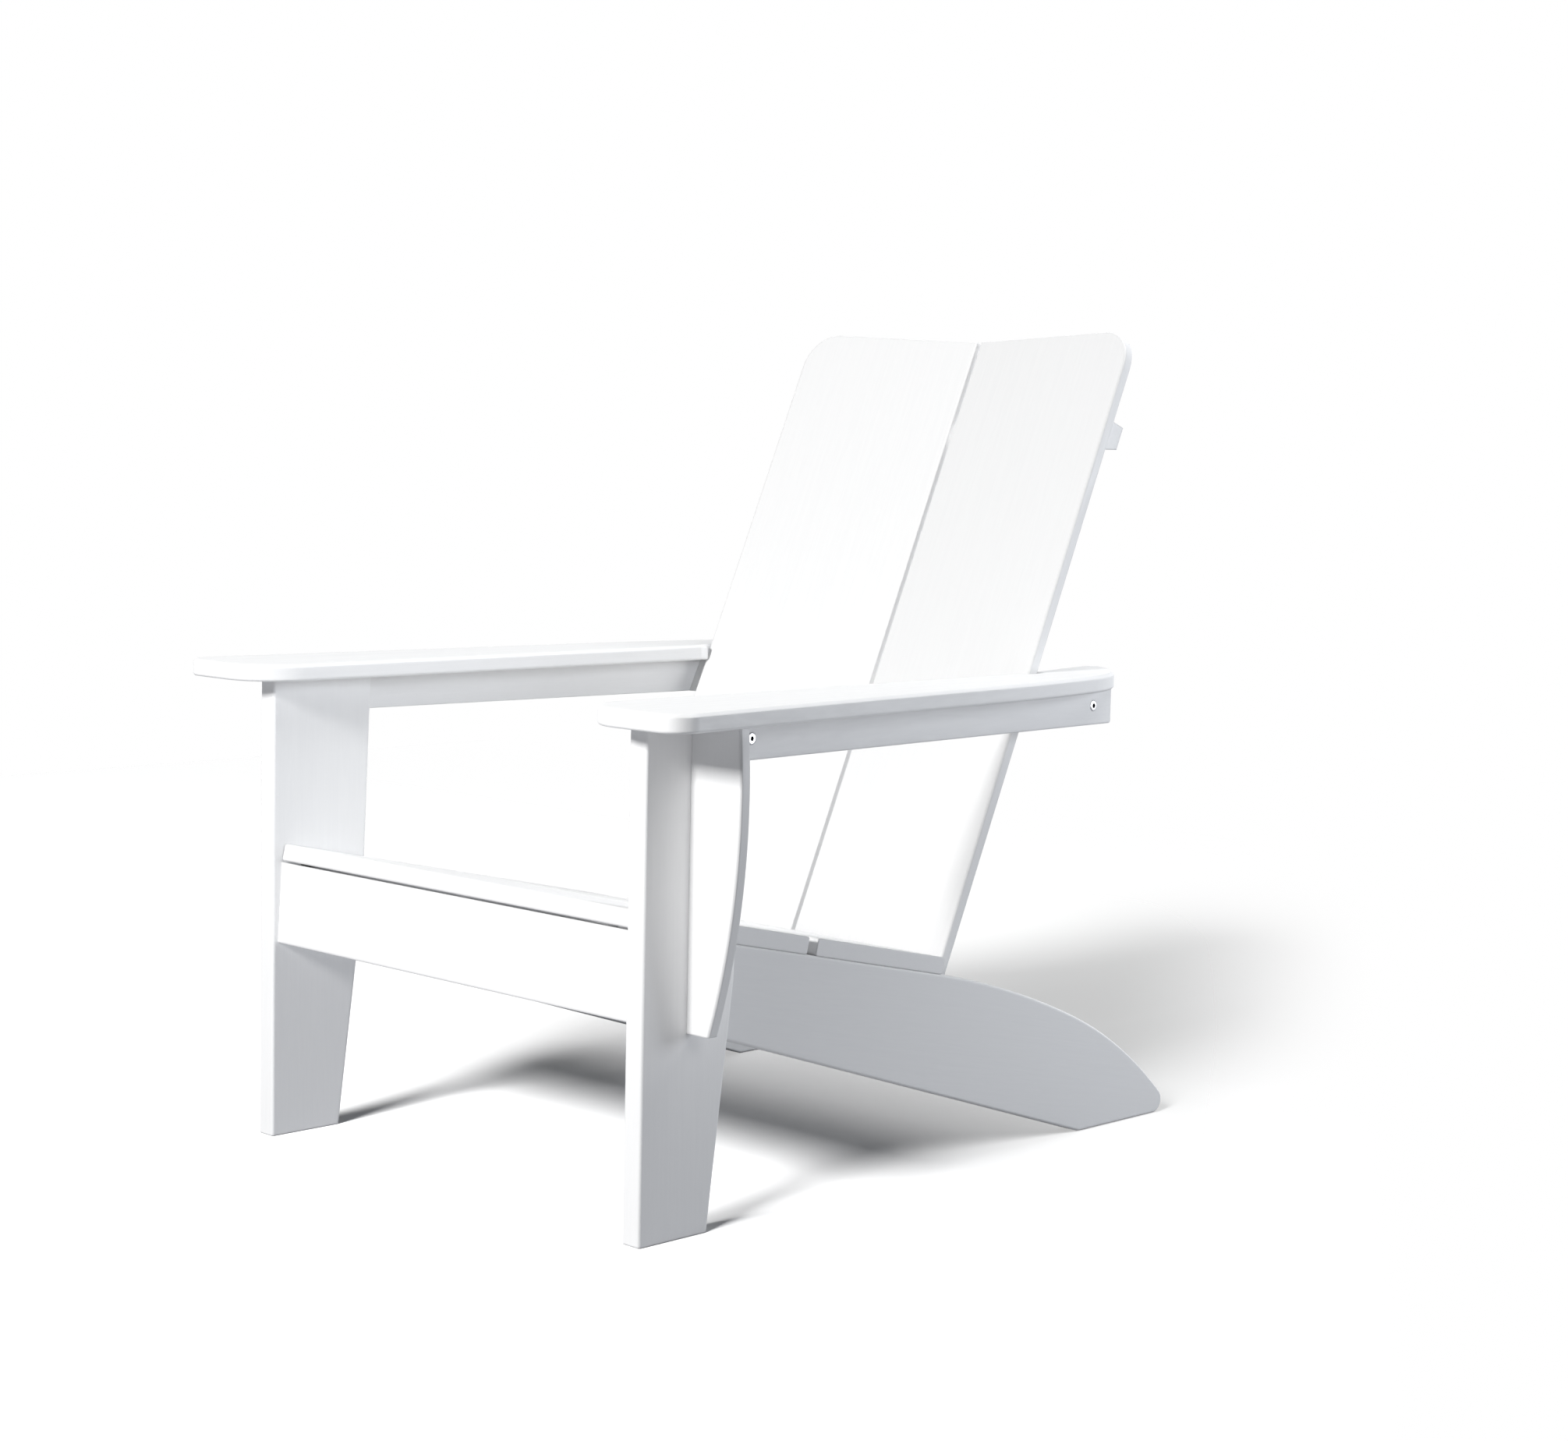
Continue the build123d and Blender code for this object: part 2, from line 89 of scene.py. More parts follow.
# ---- shared surface effects -------------------------------------------------------------
def make_brushed_grain():
    """Long shallow streaks along the board: their height, and a mask for tone."""
    tree, start, end = new_group(
        "brushed grain",
        [
            ("Place", "NodeSocketVector", None),
            ("Fineness", "NodeSocketFloat", 1.0),
        ],
        [("Height", "NodeSocketFloat"), ("Mask", "NodeSocketFloat")],
    )
    sized = add_node(tree, "ShaderNodeVectorMath", (-700, 0), operation="SCALE")
    connect(tree, start.outputs["Place"], sized.inputs[0])
    connect(tree, start.outputs["Fineness"], sized.inputs["Scale"])
    bend = add_node(tree, "ShaderNodeTexNoise", (-500, -250))
    bend.inputs["Scale"].default_value = 3.0
    bend.inputs["Detail"].default_value = 2.0
    connect(tree, sized.outputs[0], bend.inputs["Vector"])
    shift = add_node(tree, "ShaderNodeVectorMath", (-300, -100), operation="MULTIPLY_ADD")
    shift.inputs[1].default_value = (0.6, 0.6, 0.6)
    connect(tree, bend.outputs["Color"], shift.inputs[0])
    connect(tree, sized.outputs[0], shift.inputs[2])
    coarse = add_node(tree, "ShaderNodeTexNoise", (-100, 150))
    coarse.inputs["Scale"].default_value = 12.0
    coarse.inputs["Detail"].default_value = 4.0
    coarse.inputs["Roughness"].default_value = 0.6
    connect(tree, shift.outputs[0], coarse.inputs["Vector"])
    fine = add_node(tree, "ShaderNodeTexNoise", (-100, -150))
    fine.inputs["Scale"].default_value = 46.0
    fine.inputs["Detail"].default_value = 3.0
    connect(tree, shift.outputs[0], fine.inputs["Vector"])
    mix = add_node(tree, "ShaderNodeMix", (150, 0), data_type="FLOAT")
    mix.inputs[0].default_value = 0.4
    connect(tree, coarse.outputs[0], mix.inputs[2])
    connect(tree, fine.outputs[0], mix.inputs[3])
    ramp = add_node(tree, "ShaderNodeMapRange", (400, -150), interpolation_type="SMOOTHSTEP")
    ramp.inputs["From Min"].default_value = 0.38
    ramp.inputs["From Max"].default_value = 0.62
    connect(tree, mix.outputs[0], ramp.inputs["Value"])
    connect(tree, mix.outputs[0], end.inputs["Height"])
    connect(tree, ramp.outputs["Result"], end.inputs["Mask"])
    return tree


def make_edge_wear():
    """Mask that is high on rubbed edges, broken up by small blotches."""
    tree, start, end = new_group(
        "edge wear",
        [
            ("Place", "NodeSocketVector", None),
            ("Width", "NodeSocketFloat", 0.003),
        ],
        [("Wear", "NodeSocketFloat"), ("Normal", "NodeSocketVector")],
    )
    bevel = add_node(tree, "ShaderNodeBevel", (-600, 150), samples=6)
    connect(tree, start.outputs["Width"], bevel.inputs["Radius"])
    flat = add_node(tree, "ShaderNodeNewGeometry", (-600, -100))
    dot = add_node(tree, "ShaderNodeVectorMath", (-350, 50), operation="DOT_PRODUCT")
    connect(tree, bevel.outputs[0], dot.inputs[0])
    connect(tree, flat.outputs["Normal"], dot.inputs[1])
    edge = add_node(tree, "ShaderNodeMapRange", (-150, 50), interpolation_type="SMOOTHSTEP")
    edge.inputs["From Min"].default_value = 0.999
    edge.inputs["From Max"].default_value = 0.93
    connect(tree, dot.outputs["Value"], edge.inputs["Value"])
    blotch = add_node(tree, "ShaderNodeTexNoise", (-350, -300))
    blotch.inputs["Scale"].default_value = 38.0
    blotch.inputs["Detail"].default_value = 5.0
    connect(tree, start.outputs["Place"], blotch.inputs["Vector"])
    patch = add_node(tree, "ShaderNodeMapRange", (-150, -300))
    patch.inputs["From Min"].default_value = 0.42
    patch.inputs["From Max"].default_value = 0.66
    connect(tree, blotch.outputs[0], patch.inputs["Value"])
    both = add_node(tree, "ShaderNodeMath", (150, -50), operation="MULTIPLY")
    connect(tree, edge.outputs["Result"], both.inputs[0])
    connect(tree, patch.outputs["Result"], both.inputs[1])
    connect(tree, both.outputs[0], end.inputs["Wear"])
    connect(tree, bevel.outputs[0], end.inputs["Normal"])
    return tree


def make_fine_scratches():
    """Scattered hairline marks for metal: height and a mask."""
    tree, start, end = new_group(
        "fine scratches",
        [("Place", "NodeSocketVector", None), ("Scale", "NodeSocketFloat", 900.0)],
        [("Height", "NodeSocketFloat"), ("Mask", "NodeSocketFloat")],
    )
    noise = add_node(tree, "ShaderNodeTexNoise", (-400, 100))
    noise.inputs["Detail"].default_value = 3.0
    connect(tree, start.outputs["Place"], noise.inputs["Vector"])
    connect(tree, start.outputs["Scale"], noise.inputs["Scale"])
    mask = add_node(tree, "ShaderNodeMapRange", (0, -100))
    mask.inputs["From Min"].default_value = 0.4
    mask.inputs["From Max"].default_value = 0.7
    connect(tree, noise.outputs[0], mask.inputs["Value"])
    connect(tree, noise.outputs[0], end.inputs["Height"])
    connect(tree, mask.outputs["Result"], end.inputs["Mask"])
    return tree


brushed_grain = make_brushed_grain()
edge_wear = make_edge_wear()
fine_scratches = make_fine_scratches()


def use_group(tree, group, place=(0, 0)):
    node = add_node(tree, "ShaderNodeGroup", place)
    node.node_tree = group
    return node


def blank_material(name):
    material = bpy.data.materials.new(name)
    material.use_nodes = True
    tree = material.node_tree
    tree.nodes.clear()
    output = add_node(tree, "ShaderNodeOutputMaterial", (900, 0))
    surface = add_node(tree, "ShaderNodeBsdfPrincipled", (600, 0))
    connect(tree, surface.outputs[0], output.inputs["Surface"])
    return material, tree, surface


# ---- materials --------------------------------------------------------------------------
PAINT = (0.81, 0.81, 0.81, 1.0)
PAINT_STREAK = (0.785, 0.785, 0.788, 1.0)    # in the streaks of the grain
PAINT_RUBBED = (0.80, 0.797, 0.79, 1.0)      # on worn edges
PAINT_ROUGHNESS = (0.42, 0.56)
PAINT_SHINE = 0.35
EDGE_WEAR_STRENGTH = 0.45
DOWEL_PALE = (0.62, 0.44, 0.27, 1.0)
DOWEL_DARK = (0.46, 0.30, 0.17, 1.0)
DOWEL_ROUGHNESS = (0.6, 0.75)
DOWEL_FINENESS = 14.0


def make_painted_board(name, along, lean=0.0):
    """White paint over planed boards; along gives the stretch of the grain on each axis."""
    material, tree, surface = blank_material(name)
    here = add_node(tree, "ShaderNodeTexCoord", (-1100, 0))
    turn = add_node(tree, "ShaderNodeMapping", (-900, 0), vector_type="TEXTURE")
    turn.inputs["Rotation"].default_value = (lean, 0.0, 0.0)
    connect(tree, here.outputs["Object"], turn.inputs["Vector"])
    stretch = add_node(tree, "ShaderNodeVectorMath", (-700, 0), operation="MULTIPLY")
    stretch.inputs[1].default_value = along
    connect(tree, turn.outputs[0], stretch.inputs[0])
    grain = use_group(tree, brushed_grain, (-450, 150))
    connect(tree, stretch.outputs[0], grain.inputs["Place"])
    wear = use_group(tree, edge_wear, (-450, -200))
    connect(tree, here.outputs["Object"], wear.inputs["Place"])
    cloud = add_node(tree, "ShaderNodeTexNoise", (-450, 400))
    cloud.inputs["Scale"].default_value = 4.0
    cloud.inputs["Detail"].default_value = 3.0
    connect(tree, here.outputs["Object"], cloud.inputs["Vector"])
    tone = add_node(tree, "ShaderNodeMath", (-200, 300), operation="MULTIPLY")
    connect(tree, grain.outputs["Mask"], tone.inputs[0])
    connect(tree, cloud.outputs[0], tone.inputs[1])
    paint = add_node(tree, "ShaderNodeMix", (0, 250), data_type="RGBA")
    paint.inputs[6].default_value = PAINT
    paint.inputs[7].default_value = PAINT_STREAK
    connect(tree, tone.outputs[0], paint.inputs[0])
    soft_wear = add_node(tree, "ShaderNodeMath", (0, -50), operation="MULTIPLY")
    soft_wear.inputs[1].default_value = EDGE_WEAR_STRENGTH
    connect(tree, wear.outputs["Wear"], soft_wear.inputs[0])
    rubbed = add_node(tree, "ShaderNodeMix", (200, 150), data_type="RGBA")
    rubbed.inputs[7].default_value = PAINT_RUBBED
    connect(tree, soft_wear.outputs[0], rubbed.inputs[0])
    connect(tree, paint.outputs[2], rubbed.inputs[6])
    connect(tree, rubbed.outputs[2], surface.inputs["Base Color"])
    rough = add_node(tree, "ShaderNodeMapRange", (200, -100))
    rough.inputs["To Min"].default_value, rough.inputs["To Max"].default_value = PAINT_ROUGHNESS
    connect(tree, grain.outputs["Mask"], rough.inputs["Value"])
    connect(tree, rough.outputs["Result"], surface.inputs["Roughness"])
    bump = add_node(tree, "ShaderNodeBump", (350, -300))
    bump.inputs["Strength"].default_value = 0.16
    bump.inputs["Distance"].default_value = 0.0006
    connect(tree, grain.outputs["Height"], bump.inputs["Height"])
    connect(tree, wear.outputs["Normal"], bump.inputs["Normal"])
    connect(tree, bump.outputs[0], surface.inputs["Normal"])
    surface.inputs["Specular IOR Level"].default_value = PAINT_SHINE
    return material


def make_metal(name, dull, bright, rough_low, rough_high, scale):
    """Metal, duller and rougher along its fine marks."""
    material, tree, surface = blank_material(name)
    here = add_node(tree, "ShaderNodeTexCoord", (-900, 0))
    marks = use_group(tree, fine_scratches, (-600, 0))
    marks.inputs["Scale"].default_value = scale
    connect(tree, here.outputs["Object"], marks.inputs["Place"])
    colour = add_node(tree, "ShaderNodeMix", (-200, 150), data_type="RGBA")
    colour.inputs[6].default_value = bright
    colour.inputs[7].default_value = dull
    connect(tree, marks.outputs["Mask"], colour.inputs[0])
    connect(tree, colour.outputs[2], surface.inputs["Base Color"])
    rough = add_node(tree, "ShaderNodeMapRange", (-200, -100))
    rough.inputs["To Min"].default_value = rough_low
    rough.inputs["To Max"].default_value = rough_high
    connect(tree, marks.outputs["Mask"], rough.inputs["Value"])
    connect(tree, rough.outputs["Result"], surface.inputs["Roughness"])
    bump = add_node(tree, "ShaderNodeBump", (100, -300))
    bump.inputs["Strength"].default_value = 0.1
    bump.inputs["Distance"].default_value = 0.0002
    connect(tree, marks.outputs["Height"], bump.inputs["Height"])
    connect(tree, bump.outputs[0], surface.inputs["Normal"])
    surface.inputs["Metallic"].default_value = 1.0
    return material


def make_bare_wood(name):
    """Pale unpainted hardwood, for the dowels inside the joints."""
    material, tree, surface = blank_material(name)
    here = add_node(tree, "ShaderNodeTexCoord", (-900, 0))
    grain = use_group(tree, brushed_grain, (-500, 0))
    grain.inputs["Fineness"].default_value = DOWEL_FINENESS
    connect(tree, here.outputs["Object"], grain.inputs["Place"])
    colour = add_node(tree, "ShaderNodeMix", (-100, 100), data_type="RGBA")
    colour.inputs[6].default_value = DOWEL_PALE
    colour.inputs[7].default_value = DOWEL_DARK
    connect(tree, grain.outputs["Mask"], colour.inputs[0])
    connect(tree, colour.outputs[2], surface.inputs["Base Color"])
    rough = add_node(tree, "ShaderNodeMapRange", (-100, -100))
    rough.inputs["To Min"].default_value, rough.inputs["To Max"].default_value = DOWEL_ROUGHNESS
    connect(tree, grain.outputs["Mask"], rough.inputs["Value"])
    connect(tree, rough.outputs["Result"], surface.inputs["Roughness"])
    bump = add_node(tree, "ShaderNodeBump", (200, -300))
    bump.inputs["Strength"].default_value = 0.2
    bump.inputs["Distance"].default_value = 0.0003
    connect(tree, grain.outputs["Height"], bump.inputs["Height"])
    connect(tree, bump.outputs[0], surface.inputs["Normal"])
    return material


WITH_GRAIN, ACROSS_GRAIN = 0.6, 16.0    # how closely the streaks change each way
ALONG_X = (WITH_GRAIN, ACROSS_GRAIN, ACROSS_GRAIN)
ALONG_Y = (ACROSS_GRAIN, WITH_GRAIN, ACROSS_GRAIN)
ALONG_Z = (ACROSS_GRAIN, ACROSS_GRAIN, WITH_GRAIN)
RAIL_SLOPE = math.radians(-12.2)
BACK_LEAN = math.radians(-23.8)
paint_across = make_painted_board("white paint, boards across the chair", ALONG_X)
paint_deep = make_painted_board("white paint, boards front to back", ALONG_Y)
paint_upright = make_painted_board("white paint, upright boards", ALONG_Z)
paint_sloping = make_painted_board("white paint, sloping side rails", ALONG_Y, lean=RAIL_SLOPE)
paint_back = make_painted_board("white paint, leaning back boards", ALONG_Z, lean=BACK_LEAN)
screw_metal = make_metal(
    "zinc-plated screws", dull=(0.42, 0.43, 0.45, 1.0), bright=(0.66, 0.67, 0.69, 1.0),
    rough_low=0.3, rough_high=0.5, scale=700.0,
)
bolt_metal = make_metal(
    "nickel-plated bolts", dull=(0.62, 0.63, 0.66, 1.0), bright=(0.88, 0.89, 0.91, 1.0),
    rough_low=0.16, rough_high=0.32, scale=900.0,
)
# Near-black material for the hollow of each socket: painted shade in the recess.
socket_shade_paint = make_metal(
    "shaded metal inside the sockets",
    dull=(0.012, 0.012, 0.013, 1.0), bright=(0.03, 0.03, 0.032, 1.0),
    rough_low=0.6, rough_high=0.8, scale=900.0,
)
dowel_wood = make_bare_wood("beech dowels")

finishes = {
    "front_leg": paint_upright,
    "arm_bracket": paint_upright,
    "side_rail": paint_sloping,
    "arm_rail": paint_deep,
    "arm_left": paint_deep,
    "arm_right": paint_deep,
    "back_board": paint_back,
    "front_apron": paint_across,
    "seat_plank": paint_across,
    "upper_back_batten": paint_across,
    "arm_cross_rail": paint_across,
    "lower_back_cleat": paint_across,
    "arm_rail_bolts": bolt_metal,
}


def finish_for(name):
    """The longest entry that a node's name starts with; dowels and screws by their ending."""
    if name.endswith("_dowels"):
        return dowel_wood
    if name.endswith("_screws"):
        return screw_metal
    fitting = [key for key in finishes if name.startswith(key)]
    return finishes[max(fitting, key=len)]


for name, piece in nodes.items():
    piece.data.materials.clear()
    piece.data.materials.append(finish_for(name))


# ---- screws and bolts -------------------------------------------------------------------
MERGE_DISTANCE = 1e-5
SECTOR = math.radians(60.0)                      # one side of a hexagon socket
SHOULDER_STEPS = ((0.65, 0.95), (0.35, 0.88))    # (share of the shoulder's height, narrowing)
POINT_NARROWING = 0.35
FASTENER_INPUTS = [
    ("Head Radius", "NodeSocketFloat", 0.005),
    ("Head Height", "NodeSocketFloat", 0.003),
    ("Shoulder", "NodeSocketFloat", 0.0008),
    ("Socket Radius", "NodeSocketFloat", 0.002),
    ("Socket Depth", "NodeSocketFloat", 0.0018),
    ("Shank Radius", "NodeSocketFloat", 0.0025),
    ("Shank Length", "NodeSocketFloat", 0.03),
    ("Point Length", "NodeSocketFloat", 0.004),
    ("Sides", "NodeSocketInt", 24),
    ("Seed", "NodeSocketInt", 7),
    ("Finish", "NodeSocketMaterial", None),
    # material painted near-black as shade inside each socket
    ("Socket Finish", "NodeSocketMaterial", None),
]


def arithmetic(tree, operation, first, second=None, place=(0, 0)):
    """One Math node; each side is a socket or a number."""
    node = add_node(tree, "ShaderNodeMath", place, operation=operation)
    for socket, value in zip(node.inputs, (first, second)):
        if isinstance(value, (int, float)):
            socket.default_value = value
        elif value is not None:
            connect(tree, value, socket)
    return node.outputs[0]


def push_face(tree, mesh, selection, distance, place):
    """Extrude the chosen face along its normal."""
    node = add_node(tree, "GeometryNodeExtrudeMesh", place, mode="FACES")
    connect(tree, mesh, node.inputs["Mesh"])
    connect(tree, selection, node.inputs["Selection"])
    if isinstance(distance, (int, float)):
        node.inputs["Offset Scale"].default_value = distance
    else:
        connect(tree, distance, node.inputs["Offset Scale"])
    return node


def shrink_face(tree, mesh, selection, factor, place):
    """Scale the chosen face about its own middle."""
    node = add_node(tree, "GeometryNodeScaleElements", place, domain="FACE")
    connect(tree, mesh, node.inputs["Geometry"])
    connect(tree, selection, node.inputs["Selection"])
    if isinstance(factor, (int, float)):
        node.inputs["Scale"].default_value = factor
    else:
        connect(tree, factor, node.inputs["Scale"])
    return node.outputs["Geometry"]


def hexagon_place(tree, radius, place):
    """Where the points of a round face go so that its outline becomes a hexagon."""
    x, y = place
    here = add_node(tree, "GeometryNodeInputPosition", (x, y))
    apart = add_node(tree, "ShaderNodeSeparateXYZ", (x + 150, y))
    connect(tree, here.outputs[0], apart.inputs[0])
    turn = arithmetic(tree, "ARCTAN2", apart.outputs["Y"], apart.outputs["X"], (x + 300, y))
    within = arithmetic(tree, "FLOORED_MODULO", turn, SECTOR, (x + 450, y))
    middle = arithmetic(tree, "SUBTRACT", within, SECTOR / 2, (x + 600, y))
    flat = arithmetic(tree, "MULTIPLY", radius, math.cos(SECTOR / 2), (x + 600, y - 200))
    cosine = arithmetic(tree, "COSINE", middle, None, (x + 750, y))
    reach = arithmetic(tree, "DIVIDE", flat, cosine, (x + 900, y))
    turn_cosine = arithmetic(tree, "COSINE", turn, None, (x, y - 200))
    across = arithmetic(tree, "MULTIPLY", reach, turn_cosine)
    turn_sine = arithmetic(tree, "SINE", turn, None, (x, y - 350))
    upward = arithmetic(tree, "MULTIPLY", reach, turn_sine)
    together = add_node(tree, "ShaderNodeCombineXYZ", (x + 1200, y))
    connect(tree, across, together.inputs["X"])
    connect(tree, upward, together.inputs["Y"])
    connect(tree, apart.outputs["Z"], together.inputs["Z"])
    return together.outputs[0]


def make_fastener_tree():
    """A headed fastener with a hexagon socket on every point, turned to the point's facing."""
    tree = bpy.data.node_groups.new("screws and bolts on points", "GeometryNodeTree")
    tree.interface.new_socket("Points", in_out="INPUT", socket_type="NodeSocketGeometry")
    for label, kind, default in FASTENER_INPUTS:
        socket = tree.interface.new_socket(label, in_out="INPUT", socket_type=kind)
        if default is not None:
            socket.default_value = default
    tree.interface.new_socket("Fasteners", in_out="OUTPUT", socket_type="NodeSocketGeometry")
    start = add_node(tree, "NodeGroupInput", (-2600, 0))
    end = add_node(tree, "NodeGroupOutput", (2800, 0))
    sizes = start.outputs

    # the straight part of the head, with its top where the shoulder starts
    straight = arithmetic(tree, "SUBTRACT", sizes["Head Height"], sizes["Shoulder"], (-2400, 300))
    disc = add_node(tree, "GeometryNodeMeshCylinder", (-2200, 200), fill_type="NGON")
    connect(tree, sizes["Sides"], disc.inputs["Vertices"])
    connect(tree, sizes["Head Radius"], disc.inputs["Radius"])
    connect(tree, straight, disc.inputs["Depth"])
    half = arithmetic(tree, "MULTIPLY", straight, -0.5, (-2200, -200))
    sink = arithmetic(tree, "SUBTRACT", half, sizes["Shoulder"], (-2050, -200))
    down = add_node(tree, "ShaderNodeCombineXYZ", (-1900, -200))
    connect(tree, sink, down.inputs["Z"])
    seat = add_node(tree, "GeometryNodeTransform", (-1750, 200))
    connect(tree, disc.outputs["Mesh"], seat.inputs["Geometry"])
    connect(tree, down.outputs[0], seat.inputs["Translation"])

    # the shoulder, up to the flat top
    mesh, top = seat.outputs[0], disc.outputs["Top"]
    for step, (share, factor) in enumerate(SHOULDER_STEPS):
        rise = arithmetic(tree, "MULTIPLY", sizes["Shoulder"], share, (-1550 + 300 * step, -150))
        push = push_face(tree, mesh, top, rise, (-1500 + 300 * step, 200))
        top = push.outputs["Top"]
        mesh = shrink_face(tree, push.outputs["Mesh"], top, factor, (-1350 + 300 * step, 200))

    # the hexagon socket, marked so that its faces can take the painted shade
    rim = push_face(tree, mesh, top, 0.0, (-850, 200))
    mouth = add_node(tree, "GeometryNodeSetPosition", (-650, 200))
    connect(tree, rim.outputs["Mesh"], mouth.inputs["Geometry"])
    connect(tree, rim.outputs["Top"], mouth.inputs["Selection"])
    outline = hexagon_place(tree, sizes["Socket Radius"], (-2200, 900))
    connect(tree, outline, mouth.inputs["Position"])
    deep = arithmetic(tree, "MULTIPLY", sizes["Socket Depth"], -1.0, (-650, -100))
    socket = push_face(tree, mouth.outputs[0], rim.outputs["Top"], deep, (-450, 200))
    hollow = add_node(tree, "FunctionNodeBooleanMath", (-250, 0), operation="OR")
    connect(tree, socket.outputs["Top"], hollow.inputs[0])
    connect(tree, socket.outputs["Side"], hollow.inputs[1])
    marked = add_node(
        tree, "GeometryNodeStoreNamedAttribute", (-50, 200), data_type="BOOLEAN", domain="FACE"
    )
    connect(tree, socket.outputs["Mesh"], marked.inputs["Geometry"])
    marked.inputs["Name"].default_value = "socket"
    connect(tree, hollow.outputs[0], [s for s in marked.inputs if s.name == "Value"][0])

    # the shank and its point
    neck = push_face(tree, marked.outputs[0], disc.outputs["Bottom"], 0.0, (150, 200))
    slim = arithmetic(tree, "DIVIDE", sizes["Shank Radius"], sizes["Head Radius"], (150, -200))
    mesh = shrink_face(tree, neck.outputs["Mesh"], neck.outputs["Top"], slim, (300, 200))
    plain = arithmetic(tree, "SUBTRACT", sizes["Shank Length"], sizes["Point Length"], (300, -350))
    shank = push_face(tree, mesh, neck.outputs["Top"], plain, (500, 200))
    tip = push_face(
        tree, shank.outputs["Mesh"], shank.outputs["Top"], sizes["Point Length"], (700, 200)
    )
    mesh = shrink_face(
        tree, tip.outputs["Mesh"], tip.outputs["Top"], POINT_NARROWING, (900, 200)
    )

    # one on each point, turned to its facing and then about itself by chance
    facing = add_node(
        tree, "GeometryNodeInputNamedAttribute", (700, -300), data_type="FLOAT_VECTOR"
    )
    facing.inputs["Name"].default_value = "facing"
    aim = add_node(tree, "FunctionNodeAlignRotationToVector", (900, -300), axis="Z")
    connect(tree, facing.outputs["Attribute"], aim.inputs["Vector"])
    chance = add_node(tree, "FunctionNodeRandomValue", (700, -600), data_type="FLOAT")
    low, high = [s for s in chance.inputs if s.name in ("Min", "Max") and s.enabled][:2]
    low.default_value, high.default_value = 0.0, SECTOR
    connect(tree, sizes["Seed"], chance.inputs["Seed"])
    spin = add_node(tree, "FunctionNodeAxisAngleToRotation", (900, -600))
    spin.inputs["Axis"].default_value = (0.0, 0.0, 1.0)
    connect(tree, [s for s in chance.outputs if s.enabled][0], spin.inputs["Angle"])
    turned = add_node(tree, "FunctionNodeRotateRotation", (1100, -400), rotation_space="LOCAL")
    connect(tree, aim.outputs[0], turned.inputs[0])
    connect(tree, spin.outputs[0], turned.inputs[1])

    placed = add_node(tree, "GeometryNodeInstanceOnPoints", (1300, 100))
    connect(tree, sizes["Points"], placed.inputs["Points"])
    connect(tree, mesh, placed.inputs["Instance"])
    connect(tree, turned.outputs[0], placed.inputs["Rotation"])
    real = add_node(tree, "GeometryNodeRealizeInstances", (1600, 100))
    connect(tree, placed.outputs[0], real.inputs[0])
    metal = add_node(tree, "GeometryNodeSetMaterial", (1900, 100))
    connect(tree, real.outputs[0], metal.inputs["Geometry"])
    connect(tree, sizes["Finish"], metal.inputs["Material"])
    # the socket's faces get the near-black painted shade
    inside = add_node(tree, "GeometryNodeInputNamedAttribute", (1900, -200), data_type="BOOLEAN")
    inside.inputs["Name"].default_value = "socket"
    dark = add_node(tree, "GeometryNodeSetMaterial", (2200, 100))
    connect(tree, metal.outputs[0], dark.inputs["Geometry"])
    connect(tree, inside.outputs["Attribute"], dark.inputs["Selection"])
    connect(tree, sizes["Socket Finish"], dark.inputs["Material"])
    connect(tree, dark.outputs[0], end.inputs[0])
    return tree


def merged_copy(node_name):
    """A copy of a CAD node's shape with its doubled corners joined; the caller frees it."""
    shape = bmesh.new()
    shape.from_mesh(nodes[node_name].data)
    bmesh.ops.remove_doubles(shape, verts=shape.verts, dist=MERGE_DISTANCE)
    return shape


def fastener_lines(node_name):
    """Middle of the head's top, outward direction and length of each of a node's fasteners."""
    shape = merged_copy(node_name)
    waiting = set(shape.verts)
    lines = []
    while waiting:
        group, reached = [], [waiting.pop()]
        while reached:
            vertex = reached.pop()
            group.append(vertex)
            for edge in vertex.link_edges:
                other = edge.other_vert(vertex)
                if other in waiting:
                    waiting.discard(other)
                    reached.append(other)
        places = np.array([tuple(vertex.co) for vertex in group])
        middle = places.mean(axis=0)
        spread = places - middle
        along = np.linalg.eigh(spread.T @ spread)[1][:, 2]
        travel = spread @ along
        widest = np.linalg.norm(spread - np.outer(travel, along), axis=1).argmax()
        if travel[widest] < 0:
            along, travel = -along, -travel
        head = Vector((middle + along * travel.max()).tolist())
        lines.append((head, Vector(along.tolist()), float(np.ptp(travel))))
    shape.free()
    return sorted(lines, key=lambda line: tuple(round(c, 4) for c in line[0]))


def fit_fasteners(node_name, tree, finish, slot, **sizes):
    """Replace a node's plain screws or bolts by fasteners with sockets, in the same places."""
    lines = fastener_lines(node_name)
    points = bpy.data.meshes.new(node_name + " points")
    points.from_pydata([tuple(line[0]) for line in lines], [], [])
    facing = points.attributes.new("facing", "FLOAT_VECTOR", "POINT")
    for value, line in zip(facing.data, lines):
        value.vector = line[1]
    holder = bpy.data.objects.new(node_name + " holder", points)
    bpy.context.scene.collection.objects.link(holder)
    modifier = holder.modifiers.new("fasteners", "NODES")
    modifier.node_group = tree
    # the socket's hollow takes the near-black painted shade
    values = dict(sizes, Finish=finish, Socket_Finish=socket_shade_paint)
    values["Shank_Length"] = lines[0][2] - sizes["Head_Height"]
    for item in tree.interface.items_tree:
        label = item.name.replace(" ", "_")
        if item.in_out == "INPUT" and label in values:
            modifier[item.identifier] = values[label]
    seen = holder.evaluated_get(bpy.context.evaluated_depsgraph_get())
    mesh = bpy.data.meshes.new_from_object(seen)
    mesh.name = node_name + " with sockets"
    for index in reversed(range(len(mesh.materials))):
        if mesh.materials[index] is None:
            mesh.materials.pop(index=index)
    bpy.data.objects.remove(holder)
    piece = bpy.data.objects.new(node_name + "_with_sockets", mesh)
    bpy.context.scene.collection.objects.link(piece)
    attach(piece, "root")
    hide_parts(node_name)


